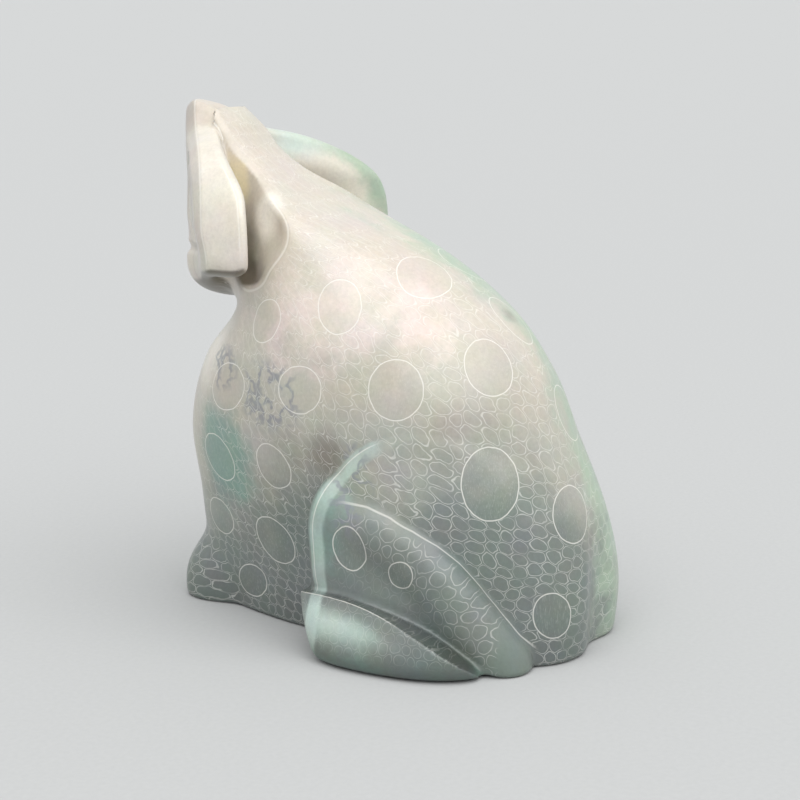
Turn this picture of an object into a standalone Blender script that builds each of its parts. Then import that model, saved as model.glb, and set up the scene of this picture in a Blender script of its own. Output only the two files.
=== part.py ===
"""The soapstone frog carving, as one solid stone.

The frog sits upright with a humped back and its head thrown up. The head is a broad
dome whose two halves sweep back like wings, thick at the rim and dished behind, joined
to a narrow nape. A haunch, a shin and a long foot stand in low relief on each flank,
and the forelegs are one narrow block in front. The underside is flat.

Every body below is a field that is negative inside the stone. The bodies are blended
and carved into each other, and the skin is laid where the blended field is zero.
Axes: front is -Y, the left side is +X, up is +Z.
"""
import bpy
import numpy as np

# The driving size, and the canon in which all the forms are measured
HEIGHT = 0.1073           # metres, from the underside to the crown
PARTS = 107.3             # the same height in parts
PART = HEIGHT/PARTS       # metres in one part

MIDDLE = -3.3             # where the middle of the stone's box lies along Y
GRID = 0.9                # spacing of the field's samples, in parts
FACETS = 9000             # triangles kept in the skin

# The body as level sections: back, front, half width and the place of greatest width
LEVEL = (-5, 0, 12, 25, 40, 55, 66, 77, 87, 96, 102, 106)
BACK = (44, 44.7, 45.5, 43.2, 38, 31.4, 22.8, 6.6, -17.0, -30.5, -36.4, -40.3)
FRONT = (-41, -42, -45, -46.1, -47.5, -42.7, -34.7, -39, -43, -44, -44.6, -45)
WIDTH = (21.5, 22, 23, 25, 26.8, 26, 23.5, 20, 16.5, 12.5, 10.0, 8.5)
WIDEST = (12, 12, 10, 6, 3, -3, -9, -15, -23, -34, -39.7, -43.5)

# The head
PROW = -49.5              # front of the head at the level of the wings' tips
LEAN = 0.04               # forward lean of the prow for each part of height
SWEEP = 0.71              # how far the wings fall back for each part outward
SPAN = 30.7               # half the spread of the wings
WING_LEVEL = 81.0         # the level where the wings are widest
WING_RISE = 20.0          # from that level to the wings' upper edge
CROWN_TOP = 107.1
RIM_LOW, RIM_HIGH = 9.9, 6.9      # thickness of the rim at the jaw and at the crown
WEB = 3.6                 # thickness of the wings inside the rim
NAPE_TOP = CROWN_TOP - 1.5        # where the nape is cut off behind the crown

# The face, carved into the front of the head
EYE = (15.5, 87.5)        # half the distance between the eyes, and their level
EYE_RADIUS = 8.0
MOUTH_LEVEL = 76.0
GROOVE = 1.6              # half width of the carved lines of the face
GROOVE_DEPTH = 0.7

# The hind leg
KNEE = (17.0, 25.0)       # middle of the arch that bounds the haunch, in Y and Z
KNEE_RADIUS = 20.8
RELIEF = 4.0              # how far the haunch stands out of the flank
FOOT_MIDDLE = 19.0        # where the foot's middle lies in X
FOOT_HALF = 16.8          # half its breadth at the ground
RIDGE = ((21.5, -1.5, 28.0), (28.0, 20.7, 28.0), (20.4, 34.0, -0.6))    # the shin, as a bent rod

# The box in which the field is sampled
BOX_SIDE = max(SPAN, FOOT_MIDDLE + FOOT_HALF) + 2.7
BOX_LOW = np.array((-BOX_SIDE, -57.5, -2.5))
BOX_HIGH = np.array((BOX_SIDE, 52.5, CROWN_TOP + 4.4))


def soft_abs(value, radius):
    """The size of a value, rounded off near zero."""
    return np.sqrt(value*value + radius*radius) - radius


def blend(a, b, soft):
    """Two bodies joined with a fillet."""
    near = np.maximum(soft - np.abs(a - b), 0.0)/soft
    return np.minimum(a, b) - near*near*soft*0.25


def carve(a, b, soft):
    """The first body with the second cut out of it."""
    return -blend(-a, b, soft)


def meet(a, b, soft):
    """What two bodies have in common, with a rounded edge."""
    return -blend(-a, -b, soft)


def step(low, high, value):
    """A smooth rise from 0 to 1 between two values."""
    t = np.clip((value - low)/(high - low), 0.0, 1.0)
    return t*t*(3 - 2*t)


def spline(knots, values, at):
    """A smooth curve through a few knots."""
    knots = np.array(knots, float)
    values = np.array(values, float)
    slope = np.gradient(values, knots)
    i = np.clip(np.searchsorted(knots, at) - 1, 0, len(knots) - 2)
    span = knots[i + 1] - knots[i]
    t = np.clip((at - knots[i])/span, 0, 1)
    start = (1 + 2*t)*(1 - t)**2*values[i] + t*(1 - t)**2*span*slope[i]
    end = t*t*(3 - 2*t)*values[i + 1] + t*t*(t - 1)*span*slope[i + 1]
    return start + end


def oval(u, v, a, b, power=2.0):
    """A flat oval outline of half axes a and b, squarer for a higher power."""
    u = np.abs(u)/a
    v = np.abs(v)/b
    reach = (u**power + v**power + 1e-9)**(1/power)
    slope = np.sqrt((u**(power - 1)/a)**2 + (v**(power - 1)/b)**2)*reach**(1 - power) + 1e-4
    return (reach - 1)/slope


def ellipsoid(p, centre, radii, power=2.0):
    """An egg of the given half axes, boxier for a higher power."""
    u, v, w = np.moveaxis(np.abs((p - np.array(centre))/np.array(radii)), -1, 0)
    reach = (u**power + v**power + w**power + 1e-9)**(1/power)
    rise = (u**(power - 1)/radii[0])**2 + (v**(power - 1)/radii[1])**2 + (w**(power - 1)/radii[2])**2
    return (reach - 1)/(np.sqrt(rise)*reach**(1 - power) + 1e-6)


def limb(p, a, b, start, end):
    """A rod from a to b with round ends, its radius running from start to end."""
    a = np.array(a, float)
    run = np.array(b, float) - a
    along = np.clip(((p - a)@run)/(run@run), 0, 1)
    return np.linalg.norm(p - a - along[..., None]*run, axis=-1) - (start + (end - start)*along)


def bent_line(a, bend, b, pieces=10):
    """Points along a curve from a to b towards a bending point."""
    t = np.linspace(0, 1, pieces + 1)[:, None]
    return (1 - t)**2*np.array(a) + 2*t*(1 - t)*np.array(bend) + t*t*np.array(b)


def bent_limb(p, a, bend, b, start, end, pieces=10):
    """A rod that curves from a to b towards a bending point."""
    line = bent_line(a, bend, b, pieces)
    radius = np.linspace(start, end, pieces + 1)
    rods = [limb(p, line[i], line[i + 1], radius[i], radius[i + 1]) for i in range(pieces)]
    return np.min(rods, axis=0)


def half_space(p, point, normal):
    """All that lies behind a plane through a point."""
    normal = np.array(normal, float)
    return (p - np.array(point, float))@(normal/np.linalg.norm(normal))


def trunk(p):
    """The body and nape, from the level sections."""
    x, y, z = np.moveaxis(p, -1, 0)
    back = spline(LEVEL, BACK, z)
    front = spline(LEVEL, FRONT, z)
    wide = spline(LEVEL, WIDTH, z)
    middle = spline(LEVEL, WIDEST, z)
    length = np.where(y > middle, back - middle, middle - front)
    power = 2.15 + 1.3*step(45, 6, z)*step(-10, 25, y) + 0.5*step(76, 92, z)
    u = np.abs(x)/wide
    v = np.abs(y - middle)/length
    reach = (u**power + v**power + 1e-9)**(1/power)
    slope = np.sqrt((u**(power - 1)/wide)**2 + (v**(power - 1)/length)**2)*reach**(1 - power) + 1e-4
    return (reach - 1)/slope*0.85


def behind_face(p):
    """The distance behind the swept front of the head."""
    x, y, z = np.moveaxis(p, -1, 0)
    prow = PROW - LEAN*(z - WING_LEVEL) + 0.9*step(84, 77, z)
    return (y - prow - SWEEP*soft_abs(x, 2.5))/np.sqrt(1 + SWEEP**2)


def head_outline(p):
    """The head's outline from in front, and how thick the head is there."""
    x, y, z = np.moveaxis(p, -1, 0)
    dome = oval(x, z - WING_LEVEL, SPAN, WING_RISE, 2.4)
    jaw = oval(x, z - WING_LEVEL, SPAN, 8.4, 5.0)
    wings = np.where(z > WING_LEVEL, dome, jaw)
    crown = oval(x, z - (CROWN_TOP - 10), 4.3, 10.0, 2.4)
    chin = oval(x, z - 76.5, 17.0, 7.4)
    outline = blend(blend(wings, crown, 8.5), chin, 7.0)
    side = np.where(z > WING_LEVEL, dome, np.abs(x) - SPAN)
    near_rim = step(-15.5, -3.0, blend(side, crown, 8.5))
    rim = RIM_LOW + (RIM_HIGH - RIM_LOW)*step(88.5, 99, z) - 0.8*step(84, 77, z)
    return outline, WEB + (rim - WEB)*near_rim


def head(p):
    """The two wings of the head: a dome in outline, swept back, dished behind a thick rim."""
    x, y, z = np.moveaxis(p, -1, 0)
    depth = behind_face(p)
    outline, thick = head_outline(p)
    soft = 0.7 + 4.0*step(84, 72, z)*step(22, 10, np.abs(x))
    front = meet(-depth, outline, soft)
    bevel = 1.0 + 1.0*step(80, 103, z)
    front = meet(front, (outline - depth + bevel)*0.7071, 0.5)
    front = meet(front, half_space(p, (0, -49.0, CROWN_TOP), (0, 0.27, 1)), 1.0)
    return meet(front, depth - thick, 2.4 + 1.0*step(80, 74, z))


def face(p):
    """How deep a plain frog's face is carved into the front of the head."""
    x, y, z = np.moveaxis(p, -1, 0)
    from_eye = np.hypot((np.abs(x) - EYE[0])*np.sqrt(1 + SWEEP**2), z - EYE[1])
    rings = np.minimum(np.abs(from_eye - EYE_RADIUS), np.abs(from_eye - 0.4*EYE_RADIUS))
    mouth = np.hypot(z - MOUTH_LEVEL - 0.005*x*x, np.maximum(np.abs(x) - 20.0, 0))
    nostril = np.hypot(np.abs(x) - 3.4, z - 82.5)
    deep = GROOVE_DEPTH*step(GROOVE, 0, np.minimum(rings, nostril))
    deep = np.maximum(deep, GROOVE_DEPTH*step(GROOVE, 0, mouth)*step(-3, 6, np.abs(x)))
    return deep*step(3.0, 1.5, behind_face(p))


def hollow(p, m):
    """The tools that clear the hollows behind the wings."""
    slot = limb(m, (9.6, -42.2, 109), (12.5, -41.5, 97), 4.8, 6.6)
    upper = limb(m, (13.5, -40, 107), (19.2, -31, 95), 7.2, 11.2)
    lower = limb(m, (19.2, -31, 95), (25, -23.5, 84), 11.2, 10.9)
    lowest = limb(m, (25, -23.5, 84), (24.5, -33, 70), 10.9, 9.0)
    x, y, z = np.moveaxis(m, -1, 0)
    gap = meet(np.abs(behind_face(p) - 6.5) - 5.0, 8.5 + 6.0*step(88, 75, z) - x, 2)
    gap = meet(gap, np.abs(z - 86) - 14, 3)
    return blend(blend(blend(upper, lower, 2), lowest, 2), blend(gap, slot, 3), 3)


def body(p, m):
    """The trunk with its valleys, throat and the hollows behind the wings."""
    stone = trunk(p)
    stone = meet(stone, half_space(m, (16.7, -30, 8), (1, -0.30, -0.32)), 10)
    arm_valley = bent_limb(m, (31.5, -1, 45), (29.5, -13, 36), (25.5, -15, 3), 3.5, 6.0)
    stone = carve(stone, arm_valley, 6)
    rump_valley = ellipsoid(p, (0, 51.8, 4), (4.5, 7.0, 24))
    stone = carve(stone, rump_valley, 6)
    stone = carve(stone, hollow(p, m), 1.0 + 3.6*step(83, 92, p[..., 2]) - 2.6*step(97, 101, p[..., 2]))
    nape_front = half_space(p, (0, -40.6, NAPE_TOP), (0, 1, 0.31))
    stone = carve(stone, np.maximum(nape_front, 86 - p[..., 2]), 0.3)
    web = limb(m, (0, -41.5, CROWN_TOP - 9.1), (0, -38, 76), 6.6, 9.0)
    stone = blend(stone, web, 1.0)
    throat = ellipsoid(p, (0, -37.3, 73.0), (14, 9.4, 6.0))
    stone = blend(stone, throat, 5)
    return meet(stone, p[..., 2] - NAPE_TOP, 0.8)


def leg_bounds(m):
    """What bounds the haunch: the knee's arch, the front half of it for the shin, and the foot's slope."""
    x, y, z = np.moveaxis(m, -1, 0)
    over = np.maximum(z - KNEE[1], 0)
    knee = np.hypot(y - KNEE[0], over) - KNEE_RADIUS
    front = np.hypot(np.minimum(y - KNEE[0], 0), over) - KNEE_RADIUS
    above_foot = (11.8 - 0.011*y*y - z)*0.96
    return knee, front, above_foot


def haunch(m, stone):
    """The haunch, which stands out of the flank."""
    x, y, z = np.moveaxis(m, -1, 0)
    knee, front, above_foot = leg_bounds(m)
    proud = RELIEF*step(45, 24, z)*step(36, 14, y)
    return meet(stone - proud, meet(knee, above_foot, 5.0), 2.6)


def shin(m):
    """The shin, folded down from the knee to the heel."""
    knee, front, above_foot = leg_bounds(m)
    ridge = bent_limb(m, *RIDGE, 6.6, 4.6)
    calf = bent_limb(m, (17.0, -2, 19.0), (22.0, 17, 14.5), (17.0, 32, 2.0), 11.0, 6.0)
    return meet(blend(ridge, calf, 4), meet(front, above_foot, 5.0), 2.6)


def foot_side(m):
    """The foot's outline, which spreads towards the ground."""
    x, y, z = np.moveaxis(m, -1, 0)
    return oval(x - FOOT_MIDDLE + 0.028*z*z, y - 12.8, FOOT_HALF, 22.2 + 0.15*z, 2.35 + 0.04*np.clip(z, 0, 14))


def foot_top(m):
    """The gentle arch that cuts the foot off above."""
    x, y, z = np.moveaxis(m, -1, 0)
    return (z - 13.0 + 0.011*y*y - 0.1*(x - 30))*0.98


def foot(m):
    """The long foot, cut off above and at the toes."""
    low = meet(foot_side(m), foot_top(m), 0.4)
    low = meet(low, half_space(m, (26, -8.5, 12), (0.20, -1, -0.50)), 0.8)
    return meet(low, -m[..., 2] - 0.5, 4.0)


def mirrored(p):
    """Both sides of the frog as one, rounded off across the middle."""
    return np.stack([soft_abs(p[..., 0], 2.0), p[..., 1], p[..., 2]], -1)


def form(p):
    """The whole frog."""
    m = mirrored(p)
    stone = body(p, m)
    z = p[..., 2]
    whole = blend(stone, head(p), 0.5 + 0.9*step(101, 97, z) + 2.2*step(92, 82, z))
    whole = whole + face(p)
    leg = blend(haunch(m, stone), shin(m), 0.9 + 6.0*step(5, -3, p[..., 1]))
    instep = ellipsoid(m, (15.5, 8, 11.3), (12.5, 18, 9))
    whole = blend(whole, blend(blend(leg, instep, 3), foot(m), 1.6), 0.8)
    paw = ellipsoid(m, (4.8, -41, 3), (5.4, 7.7, 10.5))
    whole = blend(whole, paw, 4)
    return meet(whole, -p[..., 2] - 0.3, 1.4)


def fill_diagonals(samples):
    """Samples filled where stone would touch stone only across a diagonal, so the skin closes."""
    filled = 1
    while filled:
        filled = 0
        for a, b in ((0, 1), (0, 2), (1, 2)):
            block = np.moveaxis(samples, (a, b), (0, 1))
            near, far = (block[:-1, :-1], block[1:, 1:]), (block[:-1, 1:], block[1:, :-1])
            for stone, gap in ((near, far), (far, near)):
                touching = (stone[0] < 0) & (stone[1] < 0) & (gap[0] >= 0) & (gap[1] >= 0)
                gap[0][touching] = -0.05
                filled += touching.sum()


def lay_skin(samples, low, spacing):
    """Points and four-sided faces where a sampled field changes sign."""
    inside = samples < 0
    cells = np.array(samples.shape) - 1
    total = np.zeros((*cells, 3))
    count = np.zeros(cells)
    faces = []
    for axis in range(3):
        b, c = (axis + 1) % 3, (axis + 2) % 3
        first, last = [slice(None)]*3, [slice(None)]*3
        first[axis] = slice(0, -1)
        last[axis] = slice(1, None)
        near, far = samples[tuple(first)], samples[tuple(last)]
        crossing = inside[tuple(first)] != inside[tuple(last)]
        start = np.argwhere(crossing)
        point = start.astype(float)
        point[:, axis] += near[crossing]/(near[crossing] - far[crossing])
        ring = []
        for step_b, step_c in ((0, 0), (-1, 0), (-1, -1), (0, -1)):
            cell = start.copy()
            cell[:, b] += step_b
            cell[:, c] += step_c
            np.add.at(total, tuple(cell.T), point)
            np.add.at(count, tuple(cell.T), 1)
            ring.append(np.ravel_multi_index(tuple(cell.T), cells))
        ring = np.stack(ring, 1)
        outward = inside[tuple(first)][crossing]
        ring[~outward] = ring[~outward][:, ::-1]
        faces.append(ring)
    used = count > 0
    number = np.cumsum(used.ravel()) - 1
    points = low + total[used]/count[used][:, None]*spacing
    return points, number[np.concatenate(faces)]


def settle(points, field, rounds=3, reach=0.05):
    """Points moved onto the field's zero along its slope."""
    for _ in range(rounds):
        value = field(points)
        sides = [field(points + s) - field(points - s) for s in np.eye(3)*reach]
        slope = np.stack(sides, -1)/(2*reach)
        steep = np.maximum((slope*slope).sum(-1), 0.2)
        points = points - np.clip(slope*(value/steep)[:, None], -0.5, 0.5)
    return points


def skin(field, spacing):
    """The skin of a field over the stone's box."""
    count = np.ceil((BOX_HIGH - BOX_LOW)/spacing).astype(int) + 1
    xs, ys, zs = (BOX_LOW[i] + spacing*np.arange(count[i]) for i in range(3))
    samples = np.empty(count)
    for i, x in enumerate(xs):
        slab = np.stack(np.meshgrid([x], ys, zs, indexing="ij"), -1)
        samples[i] = field(slab)[0]
    fill_diagonals(samples)
    points, faces = lay_skin(samples, BOX_LOW, spacing)
    return settle(points, field), faces


def soapstone():
    """Satin green-grey stone."""
    material = bpy.data.materials.new("soapstone")
    material.use_nodes = True
    shader = material.node_tree.nodes["Principled BSDF"]
    shader.inputs["Base Color"].default_value = (0.40, 0.42, 0.34, 1)
    shader.inputs["Roughness"].default_value = 0.36
    return material


def new_object(name, points, faces):
    """A mesh object in the scene."""
    mesh = bpy.data.meshes.new(name)
    mesh.from_pydata(points.tolist(), [], faces)
    mesh.update()
    item = bpy.data.objects.new(name, mesh)
    bpy.context.scene.collection.objects.link(item)
    return item


for old in list(bpy.data.objects):
    bpy.data.objects.remove(old)

# The frog's skin, thinned to its facets
points, faces = skin(form, GRID)
frog = new_object("frog_carving", (points - (0, MIDDLE, 0))*PART, faces.tolist())
frog.data.materials.append(soapstone())
thin = frog.modifiers.new("facets", "DECIMATE")
thin.decimate_type = "COLLAPSE"
thin.ratio = FACETS/(2*len(faces))
thin.use_symmetry = True
thin.symmetry_axis = "X"

# The ground, which cuts the underside flat
side = 0.6*HEIGHT
corners = np.array([(x, y, z) for x in (-side, side) for y in (-side, side) for z in (-0.1*HEIGHT, 0)])
sides = [(0, 1, 3, 2), (4, 6, 7, 5), (0, 4, 5, 1), (2, 3, 7, 6), (0, 2, 6, 4), (1, 5, 7, 3)]
ground = new_object("ground_cutter", corners, sides)
ground.hide_render = True
ground.display_type = "WIRE"
flat = frog.modifiers.new("flat underside", "BOOLEAN")
flat.operation = "DIFFERENCE"
flat.solver = "EXACT"
flat.object = ground
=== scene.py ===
"""The soapstone frog carving: one fine skin of engraved, satin-polished stone in a plain studio.

The stone's form is worked out as in the CAD, from bodies blended and carved into each other, and laid
out finer. Each point of the skin also carries where it is on the frog: how far round the body, which
row of scales, how far from each incised line. The stone's material draws the engraving from that.
Lengths are in parts of the frog's height unless they are said to be in metres.
"""
import math
from types import SimpleNamespace

import bpy
import numpy as np
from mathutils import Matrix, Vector


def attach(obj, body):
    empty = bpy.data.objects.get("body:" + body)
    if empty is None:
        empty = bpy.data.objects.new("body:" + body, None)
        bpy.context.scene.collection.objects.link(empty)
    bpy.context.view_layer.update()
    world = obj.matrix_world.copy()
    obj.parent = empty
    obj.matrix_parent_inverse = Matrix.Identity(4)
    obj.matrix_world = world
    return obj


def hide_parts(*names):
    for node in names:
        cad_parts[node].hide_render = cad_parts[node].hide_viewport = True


# The driving size, and the canon in which all the forms are measured
HEIGHT = 0.1073           # metres, from the underside to the crown
PARTS = 107.3             # the same height in parts
PART = HEIGHT/PARTS       # metres in one part
MIDDLE = -3.3             # where the middle of the frog's box lies along Y

# The body as level sections: back, front, half width and the place of greatest width
LEVEL = (-5, 0, 12, 25, 40, 55, 66, 77, 87, 96, 102, 106)
BACK = (44, 44.7, 45.5, 43.2, 38, 31.4, 22.8, 6.6, -17.0, -30.5, -36.4, -40.3)
FRONT = (-41, -42, -45, -46.1, -47.5, -42.7, -34.7, -39, -43, -44, -44.6, -45)
WIDTH = (21.5, 22, 23, 25, 26.8, 26, 23.5, 20, 16.5, 12.5, 10.0, 8.5)
WIDEST = (12, 12, 10, 6, 3, -3, -9, -15, -23, -34, -39.7, -43.5)

# The head
PROW = -49.5              # front of the head at the level of the wings' tips
LEAN = 0.04               # forward lean of the prow for each part of height
SWEEP = 0.71              # how far the wings fall back for each part outward
SPAN = 30.7               # half the spread of the wings
WING_LEVEL = 81.0         # the level where the wings are widest
WING_RISE = 20.0          # from that level to the wings' upper edge
CROWN_TOP = 107.1         # level of the crown
RIM_LOW, RIM_HIGH = 9.9, 6.9      # thickness of the rim at the jaw and at the crown
WEB = 3.6                 # thickness of the wings inside the rim
NAPE_TOP = CROWN_TOP - 1.5        # where the nape is cut off behind the crown

# The face, carved into the front of the head
EYE = (15.5, 87.5)        # half the distance between the eyes, and their level
EYE_RADIUS = 8.0
PUPIL = 0.4               # radius of an eye's inner ring, as a share of the outer one
MOUTH_LEVEL = 76.0
MOUTH_HALF = 20.0         # half the mouth's width
NOSTRIL = (3.4, 82.5)     # half the distance between the nostrils, and their level
GROOVE = 1.6              # half width of the carved lines of the face
GROOVE_DEPTH = 0.7        # and how deep they are

# The hind leg
KNEE = (17.0, 25.0)       # middle of the arch that bounds the haunch, in Y and Z
KNEE_RADIUS = 20.8
RELIEF = 4.0              # how far the haunch stands out of the flank
FOOT_MIDDLE = 19.0        # where the foot's middle lies in X
FOOT_HALF = 16.8          # half its breadth at the ground
FOOT_ARCH = 0.011         # how fast the foot's top falls away along Y
INSTEP = ((15.5, 8, 11.3), (12.5, 18, 9))     # the egg that fills the leg out above the foot
RIDGE = ((21.5, -1.5, 28.0), (28.0, 20.7, 28.0), (20.4, 34.0, -0.6))    # the shin, as a bent rod

# The engraved spots: middle, half length and half breadth, and lean of the length off upright in degrees
SPOTS = (
    ((8.9, 10.0, 74.1), 6.7, 5.6, 56),
    ((22.0, -2.1, 68.8), 5.5, 4.4, -6),
    ((-2.2, 24.6, 65.2), 6.2, 4.6, 0),
    ((22.4, -18.6, 64.7), 4.6, 3.6, 24),
    ((12.8, 25.9, 57.7), 5.9, 5.2, 6),
    ((24.4, 11.4, 53.9), 5.9, 5.4, -6),
    ((26.1, -9.0, 52.3), 5.1, 4.7, 78),
    ((21.4, -28.7, 50.3), 5.9, 4.7, 65),
    ((-4.4, 35.8, 46.4), 5.9, 4.8, 0),
    ((20.4, 29.8, 36.5), 7.1, 5.7, 5),
    ((24.3, -16.4, 35.6), 4.9, 4.1, -30),
    ((19.0, -32.5, 34.6), 5.5, 4.6, -54),
    ((7.4, 41.6, 28.8), 6.0, 5.3, 50),
    ((30.6, 4.7, 23.1), 4.5, 3.7, -2),
    ((14.9, -35.0, 20.7), 4.7, 4.0, 88),
    ((31.5, 16.0, 19.3), 3.2, 2.6, 44),
    ((20.2, -18.6, 18.9), 5.5, 4.6, -41),
    ((16.5, 41.6, 10.6), 4.7, 3.9, -21),
    ((15.2, -27.2, 7.7), 4.9, 3.6, 64),
)
SPOT_SINGLE = 8.0         # spots with their middle nearer the spine than this aren't mirrored
SPOT_DEPTH = 4.0          # how far from the plane through its middle a spot's ring is drawn
SPOT_REACH = 9.0          # the distance that stands for all that is far from every ring

# The stone's tones; BROWN also paints shadow, AMBER a glow, and PALE and MINT paint light where it falls
SLATE = (0.155, 0.182, 0.166, 1)
SAND = (0.450, 0.430, 0.365, 1)
CREAM = (0.580, 0.525, 0.450, 1)
PALE = (0.830, 0.790, 0.700, 1)
PINK = (0.720, 0.600, 0.560, 1)
TEAL = (0.170, 0.290, 0.245, 1)
MINT = (0.480, 0.600, 0.540, 1)
GREEN = (0.350, 0.455, 0.340, 1)
BROWN = (0.110, 0.090, 0.060, 1)
AMBER = (0.850, 0.720, 0.450, 1)
INK = (0.200, 0.210, 0.240, 1)

# The ground stone in the cuts of the scales, of the lines and of the scratches
CHALK = (0.86, 0.85, 0.80, 1)
WHITE = (0.88, 0.86, 0.80, 1)
DUST = (0.75, 0.76, 0.70, 1)

# The tones laid over the stone, each over those before it: how strong at most, and how cloudy; pale and
# mint partly paint light, brown partly paints shadow, and glow is a painted glow
TINTS = (
    ("pale", PALE, 0.9, 0.6),
    ("pink", PINK, 0.7, 2.4),
    ("sea", TEAL, 0.85, 1.6),
    ("mint", MINT, 0.9, 0.5),
    ("green", GREEN, 0.9, 1.8),
    ("brown", BROWN, 0.95, 0.5),
    ("glow", AMBER, 0.75, 0.3),
)

# Single patches of some tones, and of the dark veins: strength, middle and half axes; the pale patches are
# painted light and the first brown one painted shadow
PATCHES = {
    "pale": (
        # painted highlight and glow along the ridge of the near hollow
        (0.95, (15.0, -22.8, 85), (5, 4.5, 8)),
        # painted light on the chest's front
        (0.75, (15, -38, 59), (10, 10, 12)),
        # painted light on the upper flank
        (0.4, (22, -4, 68), (12, 16, 11)),
    ),
    "pink": (
        (0.55, (21, 0, 66), (16, 30, 16)),
    ),
    "sea": (
        (1.2, (20, -31, 35), (12, 10, 13)),
        (0.5, (30, -1, 30), (6, 7, 16)),
    ),
    "brown": (
        # painted shadow under the jaw by the throat
        (0.7, (16.5, -28, 72.5), (4, 4, 4)),
        (0.55, (26, -2.7, 39.5), (6, 6, 7)),
        (0.45, (-2.5, 23.5, 65.5), (3, 2.5, 3)),
    ),
    "veined": (
        (1.0, (27, 4, 33), (9, 6, 13)),
        (1.0, (23, -16, 50), (9, 11, 9)),
        (1.0, (20, -31, 54), (6, 6, 6)),
    ),
}

# The grid that the skin is laid from, in a box with room around the frog
GRID = 0.65
BOX_SIDE = max(SPAN, FOOT_MIDDLE + FOOT_HALF) + 2.7
BOX_LOW = np.array((-BOX_SIDE, -57.5, -2.5))
BOX_HIGH = np.array((BOX_SIDE, 52.5, CROWN_TOP + 4.4))

# The scales: their width round the body and the height of a row, at a few levels
SCALE_LEVEL = (0, 25, 45, 65, 85, 108)
SCALE_WIDTH = (3.4, 3.3, 3.3, 3.0, 2.3, 1.9)
SCALE_ROW = (2.1, 2.3, 2.9, 2.9, 2.2, 2.2)
LEG_CIRCLE = 3.1          # spacing of the engraved circles on the shin
FOOT_CIRCLE = 2.3         # and on the foot
SCALE_EDGE = 0.485        # how far a scale's outline lies from its middle, in widths of a scale
SCALE_LINE = 0.024        # half width of that outline, in the same widths
LINE = 0.12               # half width of an incised line
RING_LINE = 0.11          # and of a spot's ring
CUT_DEPTH = 0.00012       # metres, the depth that stands for a full cut in the relief

# The camera, the light and the floor
LENS, SENSOR = 85.5, 36   # millimetres
TURN, RISE = 117, 12      # degrees from the frog's front round to the camera, and up to it
AIM = (0.024328, 0.015609, 0.052)     # metres, the point that the camera looks at
DISTANCE = 0.365246       # metres from that point to the camera
TO_WINDOW = (0.38, 0.38, 1.0)     # the way to the broad light: up, behind the frog and to its left
FLOOR_HALF = 80.0         # metres
PAPER = ((0.435, 0.44, 0.437, 1), (0.475, 0.48, 0.477, 1))


def soft_abs(value, radius):
    """The size of a value, rounded off near zero."""
    return np.sqrt(value*value + radius*radius) - radius


def blend(a, b, soft):
    """Two bodies joined with a fillet."""
    near = np.maximum(soft - np.abs(a - b), 0.0)/soft
    return np.minimum(a, b) - near*near*soft*0.25


def carve(a, b, soft):
    """The first body with the second cut out of it."""
    return -blend(-a, b, soft)


def meet(a, b, soft):
    """What two bodies have in common, with a rounded edge."""
    return -blend(-a, -b, soft)


def step(low, high, value):
    """A smooth rise from 0 to 1 between two values."""
    t = np.clip((value - low)/(high - low), 0.0, 1.0)
    return t*t*(3 - 2*t)


def spline(knots, values, at):
    """A smooth curve through a few knots."""
    knots = np.array(knots, float)
    values = np.array(values, float)
    slope = np.gradient(values, knots)
    i = np.clip(np.searchsorted(knots, at) - 1, 0, len(knots) - 2)
    span = knots[i + 1] - knots[i]
    t = np.clip((at - knots[i])/span, 0, 1)
    start = (1 + 2*t)*(1 - t)**2*values[i] + t*(1 - t)**2*span*slope[i]
    end = t*t*(3 - 2*t)*values[i + 1] + t*t*(t - 1)*span*slope[i + 1]
    return start + end


def oval(u, v, a, b, power=2.0):
    """A flat oval outline of half axes a and b, squarer for a higher power."""
    u = np.abs(u)/a
    v = np.abs(v)/b
    reach = (u**power + v**power + 1e-9)**(1/power)
    slope = np.sqrt((u**(power - 1)/a)**2 + (v**(power - 1)/b)**2)*reach**(1 - power) + 1e-4
    return (reach - 1)/slope


def ellipsoid(p, centre, radii, power=2.0):
    """An egg of the given half axes, boxier for a higher power."""
    u, v, w = np.moveaxis(np.abs((p - np.array(centre))/np.array(radii)), -1, 0)
    reach = (u**power + v**power + w**power + 1e-9)**(1/power)
    rise = (u**(power - 1)/radii[0])**2 + (v**(power - 1)/radii[1])**2 + (w**(power - 1)/radii[2])**2
    return (reach - 1)/(np.sqrt(rise)*reach**(1 - power) + 1e-6)


def limb(p, a, b, start, end):
    """A rod from a to b with round ends, its radius running from start to end."""
    a = np.array(a, float)
    run = np.array(b, float) - a
    along = np.clip(((p - a)@run)/(run@run), 0, 1)
    return np.linalg.norm(p - a - along[..., None]*run, axis=-1) - (start + (end - start)*along)


def bent_line(a, bend, b, pieces=10):
    """Points along a curve from a to b towards a bending point."""
    t = np.linspace(0, 1, pieces + 1)[:, None]
    return (1 - t)**2*np.array(a) + 2*t*(1 - t)*np.array(bend) + t*t*np.array(b)


def bent_limb(p, a, bend, b, start, end, pieces=10):
    """A rod that curves from a to b towards a bending point."""
    line = bent_line(a, bend, b, pieces)
    radius = np.linspace(start, end, pieces + 1)
    rods = [limb(p, line[i], line[i + 1], radius[i], radius[i + 1]) for i in range(pieces)]
    return np.min(rods, axis=0)


def half_space(p, point, normal):
    """All that lies behind a plane through a point."""
    normal = np.array(normal, float)
    return (p - np.array(point, float))@(normal/np.linalg.norm(normal))


def squareness(z, behind):
    """The power of the body's level sections, which are squarer low down behind."""
    return 2.15 + 1.3*step(45, 6, z)*behind


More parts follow.
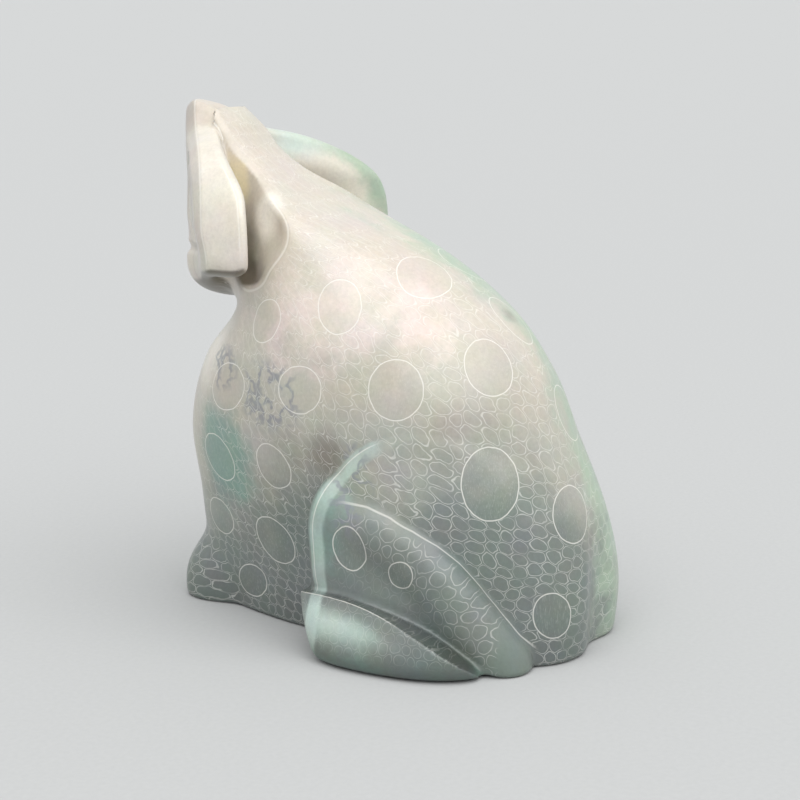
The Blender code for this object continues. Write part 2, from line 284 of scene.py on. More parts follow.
def trunk(p):
    """The body and nape, from the level sections."""
    x, y, z = np.moveaxis(p, -1, 0)
    back = spline(LEVEL, BACK, z)
    front = spline(LEVEL, FRONT, z)
    wide = spline(LEVEL, WIDTH, z)
    middle = spline(LEVEL, WIDEST, z)
    length = np.where(y > middle, back - middle, middle - front)
    power = squareness(z, step(-10, 25, y)) + 0.5*step(76, 92, z)
    u = np.abs(x)/wide
    v = np.abs(y - middle)/length
    reach = (u**power + v**power + 1e-9)**(1/power)
    slope = np.sqrt((u**(power - 1)/wide)**2 + (v**(power - 1)/length)**2)*reach**(1 - power) + 1e-4
    return (reach - 1)/slope*0.85


def behind_face(p):
    """The distance behind the swept front of the head."""
    x, y, z = np.moveaxis(p, -1, 0)
    prow = PROW - LEAN*(z - WING_LEVEL) + 0.9*step(84, 77, z)
    return (y - prow - SWEEP*soft_abs(x, 2.5))/np.sqrt(1 + SWEEP**2)


def head_outline(p):
    """The head's outline from in front, and how thick the head is there."""
    x, _, z = np.moveaxis(p, -1, 0)
    dome = oval(x, z - WING_LEVEL, SPAN, WING_RISE, 2.4)
    jaw = oval(x, z - WING_LEVEL, SPAN, 8.4, 5.0)
    wings = np.where(z > WING_LEVEL, dome, jaw)
    crown = oval(x, z - (CROWN_TOP - 10), 4.3, 10.0, 2.4)
    chin = oval(x, z - 76.5, 17.0, 7.4)
    outline = blend(blend(wings, crown, 8.5), chin, 7.0)
    side = np.where(z > WING_LEVEL, dome, np.abs(x) - SPAN)
    near_rim = step(-15.5, -3.0, blend(side, crown, 8.5))
    rim = RIM_LOW + (RIM_HIGH - RIM_LOW)*step(88.5, 99, z) - 0.8*step(84, 77, z)
    return outline, WEB + (rim - WEB)*near_rim


def bevel_width(z):
    """How wide the bevel round the head's front is."""
    return 1.0 + step(80, 103, z)


def head(p):
    """The two wings of the head: a dome in outline, swept back, dished behind a thick rim."""
    x, _, z = np.moveaxis(p, -1, 0)
    depth = behind_face(p)
    outline, thick = head_outline(p)
    soft = 0.7 + 4.0*step(84, 72, z)*step(22, 10, np.abs(x))
    front = meet(-depth, outline, soft)
    front = meet(front, (outline - depth + bevel_width(z))*0.7071, 0.5)
    front = meet(front, half_space(p, (0, -49.0, CROWN_TOP), (0, 0.27, 1)), 1.0)
    return meet(front, depth - thick, 2.4 + 1.0*step(80, 74, z))


def face(p):
    """How deep a plain frog's face is carved into the front of the head."""
    x, _, z = np.moveaxis(p, -1, 0)
    from_eye = np.hypot((np.abs(x) - EYE[0])*np.sqrt(1 + SWEEP**2), z - EYE[1])
    rings = np.minimum(np.abs(from_eye - EYE_RADIUS), np.abs(from_eye - PUPIL*EYE_RADIUS))
    mouth = np.hypot(z - MOUTH_LEVEL - 0.005*x*x, np.maximum(np.abs(x) - MOUTH_HALF, 0))
    nostril = np.hypot(np.abs(x) - NOSTRIL[0], z - NOSTRIL[1])
    deep = GROOVE_DEPTH*step(GROOVE, 0, np.minimum(rings, nostril))
    deep = np.maximum(deep, GROOVE_DEPTH*step(GROOVE, 0, mouth)*step(-3, 6, np.abs(x)))
    return deep*step(3.0, 1.5, behind_face(p))


def hollow(p, m):
    """The tools that clear the hollows behind the wings."""
    slot = limb(m, (9.6, -42.2, 109), (12.5, -41.5, 97), 4.8, 6.6)
    upper = limb(m, (13.5, -40, 107), (19.2, -31, 95), 7.2, 11.2)
    lower = limb(m, (19.2, -31, 95), (25, -23.5, 84), 11.2, 10.9)
    lowest = limb(m, (25, -23.5, 84), (24.5, -33, 70), 10.9, 9.0)
    x, _, z = np.moveaxis(m, -1, 0)
    gap = meet(np.abs(behind_face(p) - 6.5) - 5.0, 8.5 + 6.0*step(88, 75, z) - x, 2)
    gap = meet(gap, np.abs(z - 86) - 14, 3)
    return blend(blend(blend(upper, lower, 2), lowest, 2), blend(gap, slot, 3), 3)


def body(p, m):
    """The trunk with its valleys, throat and the hollows behind the wings."""
    stone = trunk(p)
    stone = meet(stone, half_space(m, (16.7, -30, 8), (1, -0.30, -0.32)), 10)
    arm_valley = bent_limb(m, (31.5, -1, 45), (29.5, -13, 36), (25.5, -15, 3), 3.5, 6.0)
    stone = carve(stone, arm_valley, 6)
    rump_valley = ellipsoid(p, (0, 51.8, 4), (4.5, 7.0, 24))
    stone = carve(stone, rump_valley, 6)
    stone = carve(stone, hollow(p, m), 1.0 + 3.6*step(83, 92, p[..., 2]) - 2.6*step(97, 101, p[..., 2]))
    nape_front = half_space(p, (0, -40.6, NAPE_TOP), (0, 1, 0.31))
    stone = carve(stone, np.maximum(nape_front, 86 - p[..., 2]), 0.3)
    web = limb(m, (0, -41.5, CROWN_TOP - 9.1), (0, -38, 76), 6.6, 9.0)
    stone = blend(stone, web, 1.0)
    throat = ellipsoid(p, (0, -37.3, 73.0), (14, 9.4, 6.0))
    stone = blend(stone, throat, 5)
    return meet(stone, p[..., 2] - NAPE_TOP, 0.8)


def leg_bounds(m):
    """What bounds the haunch: the knee's arch, the front half of it for the shin, and the foot's slope."""
    _, y, z = np.moveaxis(m, -1, 0)
    over = np.maximum(z - KNEE[1], 0)
    knee = np.hypot(y - KNEE[0], over) - KNEE_RADIUS
    front = np.hypot(np.minimum(y - KNEE[0], 0), over) - KNEE_RADIUS
    above_foot = (11.8 - FOOT_ARCH*y*y - z)*0.96
    return knee, front, above_foot


def haunch(m, stone):
    """The haunch, which stands out of the flank."""
    _, y, z = np.moveaxis(m, -1, 0)
    knee, _, above_foot = leg_bounds(m)
    proud = RELIEF*step(45, 24, z)*step(36, 14, y)
    return meet(stone - proud, meet(knee, above_foot, 5.0), 2.6)


def shin(m):
    """The shin, folded down from the knee to the heel."""
    _, front, above_foot = leg_bounds(m)
    ridge = bent_limb(m, *RIDGE, 6.6, 4.6)
    calf = bent_limb(m, (17.0, -2, 19.0), (22.0, 17, 14.5), (17.0, 32, 2.0), 11.0, 6.0)
    return meet(blend(ridge, calf, 4), meet(front, above_foot, 5.0), 2.6)


def foot_side(m):
    """The foot's outline, which spreads towards the ground."""
    x, y, z = np.moveaxis(m, -1, 0)
    power = 2.35 + 0.04*np.clip(z, 0, 14)
    return oval(x - FOOT_MIDDLE + 0.028*z*z, y - 12.8, FOOT_HALF, 22.2 + 0.15*z, power)


def foot_top(m):
    """The gentle arch that cuts the foot off above."""
    x, y, z = np.moveaxis(m, -1, 0)
    return (z - 13.0 + FOOT_ARCH*y*y - 0.1*(x - 30))*0.98


def foot(m):
    """The long foot, cut off above and at the toes."""
    low = meet(foot_side(m), foot_top(m), 0.4)
    low = meet(low, half_space(m, (26, -8.5, 12), (0.20, -1, -0.50)), 0.8)
    return meet(low, -m[..., 2] - 0.5, 4.0)


def mirrored(p):
    """Both sides of the frog as one, rounded off across the middle."""
    return np.stack([soft_abs(p[..., 0], 2.0), p[..., 1], p[..., 2]], -1)


def form(p):
    """The whole frog."""
    m = mirrored(p)
    stone = body(p, m)
    z = p[..., 2]
    whole = blend(stone, head(p), 0.5 + 0.9*step(101, 97, z) + 2.2*step(92, 82, z))
    whole = whole + face(p)
    leg = blend(haunch(m, stone), shin(m), 0.9 + 6.0*step(5, -3, p[..., 1]))
    instep = ellipsoid(m, *INSTEP)
    whole = blend(whole, blend(blend(leg, instep, 3), foot(m), 1.6), 0.8)
    paw = ellipsoid(m, (4.8, -41, 3), (5.4, 7.7, 10.5))
    whole = blend(whole, paw, 4)
    return meet(whole, -p[..., 2], 1.2)


def fill_diagonals(samples):
    """Samples filled where stone would touch stone only across a diagonal, so the skin closes."""
    filled = 1
    while filled:
        filled = 0
        for a, b in ((0, 1), (0, 2), (1, 2)):
            block = np.moveaxis(samples, (a, b), (0, 1))
            near, far = (block[:-1, :-1], block[1:, 1:]), (block[:-1, 1:], block[1:, :-1])
            for stone, gap in ((near, far), (far, near)):
                touching = (stone[0] < 0) & (stone[1] < 0) & (gap[0] >= 0) & (gap[1] >= 0)
                gap[0][touching] = -0.05
                filled += touching.sum()


def lay_skin(samples, low, spacing):
    """Points and four-sided faces where a sampled field changes sign."""
    inside = samples < 0
    cells = np.array(samples.shape) - 1
    total = np.zeros((*cells, 3))
    count = np.zeros(cells)
    faces = []
    for axis in range(3):
        b, c = (axis + 1) % 3, (axis + 2) % 3
        first, last = [slice(None)]*3, [slice(None)]*3
        first[axis] = slice(0, -1)
        last[axis] = slice(1, None)
        near, far = samples[tuple(first)], samples[tuple(last)]
        crossing = inside[tuple(first)] != inside[tuple(last)]
        start = np.argwhere(crossing)
        point = start.astype(float)
        point[:, axis] += near[crossing]/(near[crossing] - far[crossing])
        ring = []
        for step_b, step_c in ((0, 0), (-1, 0), (-1, -1), (0, -1)):
            cell = start.copy()
            cell[:, b] += step_b
            cell[:, c] += step_c
            np.add.at(total, tuple(cell.T), point)
            np.add.at(count, tuple(cell.T), 1)
            ring.append(np.ravel_multi_index(tuple(cell.T), cells))
        ring = np.stack(ring, 1)
        outward = inside[tuple(first)][crossing]
        ring[~outward] = ring[~outward][:, ::-1]
        faces.append(ring)
    used = count > 0
    number = np.cumsum(used.ravel()) - 1
    points = low + total[used]/count[used][:, None]*spacing
    return points, number[np.concatenate(faces)]


def field_slope(points, reach=0.05):
    """The direction in which the form's field rises, which is out of the stone."""
    sides = [form(points + s) - form(points - s) for s in np.eye(3)*reach]
    return np.stack(sides, -1)/(2*reach)


def settle(points, rounds):
    """Points moved onto the form's zero along its slope."""
    for _ in range(rounds):
        slope = field_slope(points)
        steep = np.maximum((slope*slope).sum(-1), 0.2)
        points = points - np.clip(slope*(form(points)/steep)[:, None], -0.5, 0.5)
    return points


def relax(points, faces):
    """Points moved half way to the middle of their neighbours, which evens the mesh out."""
    total = np.zeros_like(points)
    count = np.zeros(len(points))
    for side in range(4):
        np.add.at(total, faces[:, side], points[faces[:, side - 1]])
        np.add.at(count, faces[:, side], 1)
    return 0.5*points + 0.5*total/count[:, None]


def skin():
    """The frog's skin over its box."""
    count = np.ceil((BOX_HIGH - BOX_LOW)/GRID).astype(int) + 1
    xs, ys, zs = (BOX_LOW[i] + GRID*np.arange(count[i]) for i in range(3))
    samples = np.empty(count)
    for i, x in enumerate(xs):
        slab = np.stack(np.meshgrid([x], ys, zs, indexing="ij"), -1)
        samples[i] = form(slab)[0]
    fill_diagonals(samples)
    points, faces = lay_skin(samples, BOX_LOW, GRID)
    points = settle(points, 2)
    points = settle(relax(points, faces), 2)
    return points, faces


def round_body(p):
    """How far round the trunk each point is from the spine, from the side and from the chest."""
    x, y, z = np.moveaxis(p, -1, 0)
    levels = np.arange(-5.0, 111.0)
    turns = np.linspace(0, np.pi, 181)
    back, front, wide, middle = (
        spline(LEVEL, values, levels)[:, None] for values in (BACK, FRONT, WIDTH, WIDEST))
    behind = np.cos(turns)[None] > 0
    length = np.where(behind, back - middle, middle - front)
    power = squareness(levels[:, None], behind)
    reach = (np.abs(np.sin(turns))**power + np.abs(np.cos(turns))**power)**(-1/power)
    across = wide*reach*np.sin(turns)
    along = length*reach*np.cos(turns)
    way = np.cumsum(np.hypot(np.diff(across, axis=1), np.diff(along, axis=1)), axis=1)
    way = np.concatenate([np.zeros((len(levels), 1)), way], axis=1)

    wide, middle = spline(LEVEL, WIDTH, z), spline(LEVEL, WIDEST, z)
    length = np.where(y > middle, spline(LEVEL, BACK, z) - middle, middle - spline(LEVEL, FRONT, z))
    turn = np.arctan2(np.abs(x)/wide, (y - middle)/length)
    row = np.clip(z - levels[0], 0, len(levels) - 1.001)
    column = np.clip(turn/np.pi*180, 0, 179.999)
    i, j = row.astype(int), column.astype(int)
    f, g = row - i, column - j
    here = (way[i, j]*(1 - g) + way[i, j + 1]*g)*(1 - f) + (way[i + 1, j]*(1 - g) + way[i + 1, j + 1]*g)*f
    side = way[i, 90]*(1 - f) + way[i + 1, 90]*f
    chest = way[i, 180]*(1 - f) + way[i + 1, 180]*f
    return here, here - side, chest - here


def scale_cells(p):
    """Where each point lies in the pattern of scales: widths of a scale round the body, and rows."""
    z = p[:, 2]
    around, past_side, _ = round_body(p)
    levels = np.arange(-3.0, 112.0)
    rows = np.cumsum(1/np.interp(levels, SCALE_LEVEL, SCALE_ROW))
    row = np.interp(z, levels, rows)
    wide = np.interp(z, SCALE_LEVEL, SCALE_WIDTH)
    column = around/wide + 0.35*np.maximum(past_side, 0)/wide - 0.22*row
    return column, row*math.sqrt(3)/2


def beside_ridge(p):
    """How far each point is along the shin's ridge from the knee, and how far above or below it."""
    line = bent_line(*RIDGE, 40)[:, 1:]
    run = np.diff(line, axis=0)
    length = np.hypot(*run.T)
    start = np.concatenate([[0], np.cumsum(length)])[:-1]
    best = np.full(len(p), 1e9)
    along = np.zeros(len(p))
    above = np.zeros(len(p))
    for i in range(len(run)):
        q = p[:, 1:] - line[i]
        t = q@run[i]/length[i]**2
        if i > 0:
            t = np.maximum(t, 0)
        if i < len(run) - 1:
            t = np.minimum(t, 1)
        off = q - t[:, None]*run[i]
        far = np.hypot(*off.T)
        nearer = far < best
        best[nearer] = far[nearer]
        along[nearer] = (start[i] + t*length[i])[nearer]
        side = np.sign(run[i, 0]*q[:, 1] - run[i, 1]*q[:, 0])
        above[nearer] = (side*far)[nearer]
    return along, above


def stage_camera():
    """The camera at the photograph's angle."""
    data = bpy.data.cameras.new("camera")
    data.lens = LENS
    data.sensor_width = SENSOR
    camera = bpy.data.objects.new("camera", data)
    bpy.context.scene.collection.objects.link(camera)
    turn, rise = math.radians(TURN), math.radians(RISE)
    back = Vector((math.sin(turn)*math.cos(rise), -math.cos(turn)*math.cos(rise), math.sin(rise)))
    camera.location = Vector(AIM) + back*DISTANCE
    camera.rotation_euler = back.to_track_quat("Z", "Y").to_euler()
    bpy.context.scene.camera = camera


class Nodes:
    """A short way to write a material's nodes."""

    def __init__(self, name):
        self.material = bpy.data.materials.new(name)
        self.material.use_nodes = True
        self.tree = self.material.node_tree
        self.shader = self.tree.nodes["Principled BSDF"]

    def add(self, kind, inputs=(), output=0, **settings):
        """A node with its settings and inputs, returning one of its outputs."""
        node = self.tree.nodes.new("ShaderNode" + kind)
        for name, value in settings.items():
            setattr(node, name, value)
        for key, value in dict(inputs).items():
            self.put(node.inputs[key], value)
        return node.outputs[output]

    def put(self, socket, value):
        """Sets a socket to a value, or links an output to it."""
        if isinstance(value, bpy.types.NodeSocket):
            self.tree.links.new(value, socket)
        else:
            socket.default_value = value

    def math(self, operation, *values):
        """A sum or another step of arithmetic on numbers."""
        return self.add("Math", enumerate(values), operation=operation)

    def vector(self, operation, *values, output=0):
        """The same on vectors."""
        return self.add("VectorMath", enumerate(values), output=output, operation=operation)

    def scaled(self, vector, factor):
        """A vector times a number."""
        return self.add("VectorMath", {0: vector, "Scale": factor}, operation="SCALE")

    def length(self, vector):
        """A vector's length."""
        return self.vector("LENGTH", vector, output="Value")

    def attribute(self, name, output="Fac"):
        """What the skin's points carry under a name."""
        node = self.tree.nodes.new("ShaderNodeAttribute")
        node.attribute_name = name
        return node.outputs[output]

    def rise(self, value, low, high, bottom=0.0, top=1.0):
        """A smooth rise from bottom to top as the value goes from low to high."""
        inputs = {"Value": value, "From Min": low, "From Max": high, "To Min": bottom, "To Max": top}
        return self.add("MapRange", inputs, interpolation_type="SMOOTHSTEP")

    def mix(self, share, a, b, kind="MIX"):
        """Colour a turned to colour b by a share."""
        node = self.tree.nodes.new("ShaderNodeMix")
        node.data_type = "RGBA"
        node.blend_type = kind
        self.put(node.inputs[0], share)
        self.put(node.inputs[6], a)
        self.put(node.inputs[7], b)
        return node.outputs[2]

    def noise(self, where, scale, detail=2.0, rough=0.5, output="Fac"):
        """Soft noise over a place."""
        inputs = {"Vector": where, "Scale": scale, "Detail": detail, "Roughness": rough}
        return self.add("TexNoise", inputs, output=output)


def band(n, distance, half_width):
    """A soft line where a signed distance passes zero."""
    return n.rise(n.math("ABSOLUTE", distance), half_width*1.6, half_width*0.5)


def scale_lines(n, cells, roundness, wobble):
    """The outlines of a honeycomb of rounded scales, drawn one by one by hand."""
    place = n.vector("ADD", cells, wobble)
    tall = math.sqrt(3)
    pair = (1.0, tall, 1.0)
    half = (0.5, tall/2, 0.5)
    even = n.vector("SUBTRACT", n.vector("WRAP", place, pair, (0, 0, 0)), half)
    odd = n.vector("SUBTRACT", n.vector("WRAP", n.vector("SUBTRACT", place, half), pair, (0, 0, 0)), half)
    even = n.vector("MULTIPLY", even, (1, 1, 0))
    odd = n.vector("MULTIPLY", odd, (1, 1, 0))
    nearer = n.math("LESS_THAN", n.length(even), n.length(odd))
    own = n.add("Mix", {0: nearer, 4: odd, 5: even}, output=1, data_type="VECTOR")

    # Each scale is a little larger or smaller than the next, by a chance that its middle decides
    middle = n.vector("ADD", n.vector("SUBTRACT", place, own), (0.05, 0.05, 0))
    middle = n.vector("SNAP", middle, (0.1, 0.1, 1))
    chance = n.add("TexWhiteNoise", {"Vector": middle}, noise_dimensions="2D")

    # Its outline lies between a hexagon and a circle
    size = n.vector("ABSOLUTE", own)
    slant = n.vector("DOT_PRODUCT", size, (0.5, tall/2, 0), output="Value")
    upright = n.vector("DOT_PRODUCT", size, (1, 0, 0), output="Value")
    ring = n.length(size)
    comb = n.math("MAXIMUM", n.math("MAXIMUM", slant, upright), n.math("SUBTRACT", ring, 0.035))
    shape = n.add("Mix", {0: roundness, 2: comb, 3: n.math("ADD", ring, 0.05)}, data_type="FLOAT")
    shape = n.math("ADD", shape, n.math("MULTIPLY", chance, 0.05))
    return band(n, n.math("SUBTRACT", shape, SCALE_EDGE), SCALE_LINE)


def stone_colour(n, where, fine):
    """The polished stone's colour: its drift from slate to cream, its patches, veins and mottle, with
    painted light, painted shading and a painted glow laid in.
    """
    drift = n.math("SUBTRACT", n.noise(where, 0.055, 3.0, 0.55), 0.5)
    cloud = n.math("SUBTRACT", n.noise(where, 0.15, 4.0, 0.6), 0.5)
    level = n.math("ADD", n.attribute("level"), n.math("MULTIPLY", drift, 26.0))
    level = n.math("ADD", level, n.math("MULTIPLY", cloud, 12.0))
    colour = n.mix(n.rise(level, 19, 54), SLATE, SAND)
    colour = n.mix(n.rise(level, 50, 76), colour, CREAM)

    for name, tone, most, unrest in TINTS:
        present = n.rise(n.attribute(name), 0.0, 0.3)
        patchy = n.math("MULTIPLY", n.math("MULTIPLY", cloud, unrest), present)
        share = n.math("ADD", n.attribute(name), patchy)
        colour = n.mix(n.rise(share, 0.02, 1.0, 0, most), colour, tone)

    veins = n.math("ABSOLUTE", n.math("SUBTRACT", n.noise(where, 0.13, 3.0, 0.6), 0.5))
    veins = n.math("MULTIPLY", n.rise(veins, 0.05, 0.015), n.rise(n.attribute("veined"), 0.2, 0.8))
    colour = n.mix(n.math("MULTIPLY", veins, 0.65), colour, INK)

    spread = {"Value": fine, "From Min": 0.25, "From Max": 0.75, "To Min": 0.91, "To Max": 1.07}
    mottle = n.add("MapRange", spread)
    # Mottle is the stone's own; the painted shading multiplies in darker and lighter places where light
    # falls less or more.
    colour = n.mix(1.0, colour, n.math("MULTIPLY", mottle, n.attribute("painted_shading")), "MULTIPLY")
    hues = n.noise(where, 0.1, 3.0, 0.6, output="Color")
    return n.mix(0.18, colour, hues, "SOFT_LIGHT")


def stray(n, where, scale, most):
    """A small shift that differs from place to place, as a hand strays."""
    shift = n.vector("SUBTRACT", n.noise(where, scale, 1.0, output="Color"), (0.5, 0.5, 0.5))
    return n.scaled(shift, most)


def engraving(n, where):
    """How strongly the scales, the incised lines with the spots' rings, and the scratches show."""
    tremble = n.math("MULTIPLY", n.math("SUBTRACT", n.noise(where, 0.5, 1.0), 0.5), 0.35)
    ring = n.math("ADD", n.attribute("ring"), tremble)

    wobble = n.vector("ADD", stray(n, where, 0.13, 1.1), stray(n, where, 0.42, 0.42))
    scales = scale_lines(n, n.attribute("cells", "Vector"), n.attribute("roundness"), wobble)
    outside = n.rise(ring, 0.12, 0.3)
    worn = n.rise(n.noise(where, 0.35, 2.0), 0.32, 0.55, 0.35, 1.0)
    scales = n.math("MULTIPLY", n.math("MULTIPLY", scales, n.attribute("engraved")), outside)
    scales = n.math("MULTIPLY", scales, worn)

    lines = band(n, ring, RING_LINE)
    for name in ("hollow", "knee", "crest", "nape", "foot", "rim", "bevel", "chest"):
        line = n.math("MULTIPLY", band(n, n.attribute(name + "_line"), LINE), n.attribute(name + "_shown"))
        lines = n.math("MAXIMUM", lines, line)

    drawn_out = n.vector("MULTIPLY", where, (6.0, 6.0, 0.9))
    scratches = n.rise(n.noise(drawn_out, 0.8, 2.0, 0.7), 0.5, 0.75)
    scratches = n.math("MULTIPLY", scratches, n.rise(ring, -0.1, -0.3))
    return scales, lines, scratches


def soapstone():
    """Satin-polished stone in drifting tones with painted light and shading laid in, with its engraving."""
    n = Nodes("engraved_soapstone")
    where = n.scaled(n.add("TexCoord", output="Object"), 1/PART)
    fine = n.noise(where, 1.3, 4.0, 0.65)
    colour = stone_colour(n, where, fine)
    scales, lines, scratches = engraving(n, where)

    colour = n.mix(n.math("MULTIPLY", scales, 0.75), colour, n.mix(0.45, colour, CHALK))
    colour = n.mix(lines, colour, n.mix(0.55, colour, WHITE))
    colour = n.mix(n.math("MULTIPLY", scratches, 0.16), colour, DUST)

    cut = n.math("ADD", n.math("MULTIPLY", scales, 0.6), lines)
    cut = n.math("ADD", cut, n.math("MULTIPLY", scratches, 0.15))
    grain = n.math("MULTIPLY", n.noise(where, 2.2, 3.0, 0.6), 0.5)
    height = n.math("SUBTRACT", grain, cut)
    relief = n.add("Bump", {"Strength": 0.35, "Distance": CUT_DEPTH, "Height": height})
    rough = n.math("ADD", n.math("MULTIPLY", fine, 0.14), 0.27)
    rough = n.math("ADD", rough, n.math("MULTIPLY", n.math("MAXIMUM", scales, lines), 0.25))

    polish = {
        "Base Color": colour,
        "Normal": relief,
        "Roughness": rough,
        "IOR": 1.52,
        "Coat Weight": 0.35,
        "Coat Roughness": 0.28,
        "Subsurface Weight": 0.18,
        "Subsurface Radius": (0.9, 0.8, 0.6),
        "Subsurface Scale": 0.0025,
    }
    for name, value in polish.items():
        n.put(n.shader.inputs[name], value)
    return n.material


def own_less_others(name, bodies):
    """How far inside its own region of the skin a point is: the other bodies' distance less its own."""
    others = np.min([value for key, value in bodies.items() if key != name], axis=0)
    return others - bodies[name]


def spot_rings(p, normals):
    """How far outside the nearest engraved spot's ring each point is, with the spots on both sides."""
    nearest = np.full(len(p), SPOT_REACH)
    for middle, long, short, lean in SPOTS:
        for side in (1, -1):
            if side < 0 and middle[0] < SPOT_SINGLE:
                continue
            centre = np.array(middle)*(side, 1, 1)
            out = normals[np.argmin(((p - centre)**2).sum(-1))]
            across = np.cross((0, 0, 1), out)
            across = across/np.linalg.norm(across)
            up = np.cross(out, across)
            turn = math.radians(lean)*side
            off = p - centre
            u, v = off@across, off@up
            u, v = u*math.cos(turn) - v*math.sin(turn), u*math.sin(turn) + v*math.cos(turn)
            ring = oval(u, v, short, long)
            nearest = np.where(np.abs(off@out) < SPOT_DEPTH, np.minimum(nearest, ring), nearest)
    return nearest


def survey(p, normals):
    """What the engraving and the tones are measured from, at each point of the skin."""
    m = mirrored(p)
    bodies = {"head": head(p), "trunk": body(p, m), "shin": shin(m), "foot": foot(m)}
    bodies["haunch"] = haunch(m, bodies["trunk"])
    bodies["instep"] = ellipsoid(m, *INSTEP)
    at = SimpleNamespace(p=p, m=m, normals=normals, bodies=bodies)
    at.on = {name: own_less_others(name, bodies) for name in ("head", "shin", "foot", "instep")}
    at.in_trunk = -trunk(p)
    at.cleared = hollow(p, m)
    at.knee, _, at.above_foot = leg_bounds(m)
    at.outline, at.thick = head_outline(p)
    at.depth = behind_face(p)
    at.from_bevel = at.depth - bevel_width(p[:, 2]) - 0.1
    _, _, to_chest = round_body(p)
    at.panel = to_chest - 3.5 - 0.05*np.maximum(60 - p[:, 2], 0)
    return at


def knee_strip(at):
    """1 on the plain strip inside the front of the knee's arch, 0 away from it."""
    _, y, z = at.p.T
    return step(3.4, 2.6, -at.knee)*step(-0.8, 0.0, -at.knee)*step(12, 7, y)*step(46.5, 43, z)


def scale_maps(at):
    """How strongly and how round the scales and circles are cut, and the cells that they lie in."""
    _, y, z = at.p.T
    on = at.on
    scales = step(0.9, 1.5, at.cleared)*step(0.4, 1.2, -on["head"])*step(0.4, 1.0, -on["shin"])
    scales = scales*step(0.2, 0.8, -on["foot"])*step(0.2, 1.0, -on["instep"])*step(0.3, 0.8, at.panel)
    scales = scales*(1 - knee_strip(at))
    circles = step(0.8, 1.4, on["shin"])*step(3.0, 3.6, -at.knee)
    toes = step(0.6, 1.2, on["foot"])*step(2.5, 5.0, z)

    column, row = scale_cells(at.p)
    along, above = beside_ridge(at.p)
    leg = on["shin"] > 0
    low = on["foot"] > 0
    column = np.where(leg, along/LEG_CIRCLE, np.where(low, y/FOOT_CIRCLE, column))
    row = np.where(leg, (above - 5.0)/LEG_CIRCLE, np.where(low, z/FOOT_CIRCLE, row))
    maps = {
        "engraved": np.clip(scales + circles*(0.25 + 0.5*step(-6.0, -1.0, above)) + 0.4*toes, 0, 1),
        "roundness": np.where(leg | low, 1.0, 0.35 + 0.35*step(26, 45, z)),
        "ring": spot_rings(at.p, at.normals),
    }
    return maps, np.stack([column, row, 0*row], -1)


def line_maps(at):
    """How far each point is from the incised lines, and how strongly they show there."""
    _, y, z = at.p.T
    on_head = at.on["head"]
    gap = step(-26.0, -27.0, y)*step(69.5, 70.5, z)
    off_leg = np.minimum(at.bodies["haunch"], at.bodies["shin"])
    return {
        "hollow_line": at.cleared - 0.55,
        "hollow_shown": 0.75*step(0.3, 1.0, -on_head)*step(62, 66, z)*step(90, 86, z)*(1 - gap),
        "knee_line": -at.knee - 0.5,
        "knee_shown": 0.75*step(10, 6, y)*step(45.5, 43.5, z)*step(0.5, 2.0, -at.above_foot),
        "crest_line": at.bodies["haunch"] - at.bodies["shin"] - 0.25,
        "crest_shown": 0.7*step(1.2, 0.5, off_leg)*step(0.5, 6.0, y),
        "nape_line": -on_head - 0.35,
        "nape_shown": step(98, 100, z),
        "foot_line": foot_top(at.m) - foot_side(at.m),
        "foot_shown": 0.8*step(0.6, 0.2, np.abs(at.bodies["foot"]))*step(19, 12, y),
        "rim_line": at.depth - at.thick + 1.6,
        "rim_shown": 0.6*step(-0.9, -0.4, at.outline)*step(78, 81, z)*step(97, 94, z),
        "bevel_line": at.from_bevel,
        "bevel_shown": 0.6*step(0.0, 0.5, on_head)*step(-1.2, -0.6, at.outline)*step(75, 78, z),
        "chest_line": at.panel,
        "chest_shown": step(0.5, 1.0, -on_head)*step(66, 62, z),
    }


def patches(name, p):
    """A tone's patches, each at its strength in the middle and fading to 0 at its edge."""
    total = np.zeros(len(p))
    for strength, middle, radii in PATCHES[name]:
        off = (p - np.array(middle))/np.array(radii)
        total += strength*step(1.3, 0.2, np.sqrt((off*off).sum(-1)))
    return total


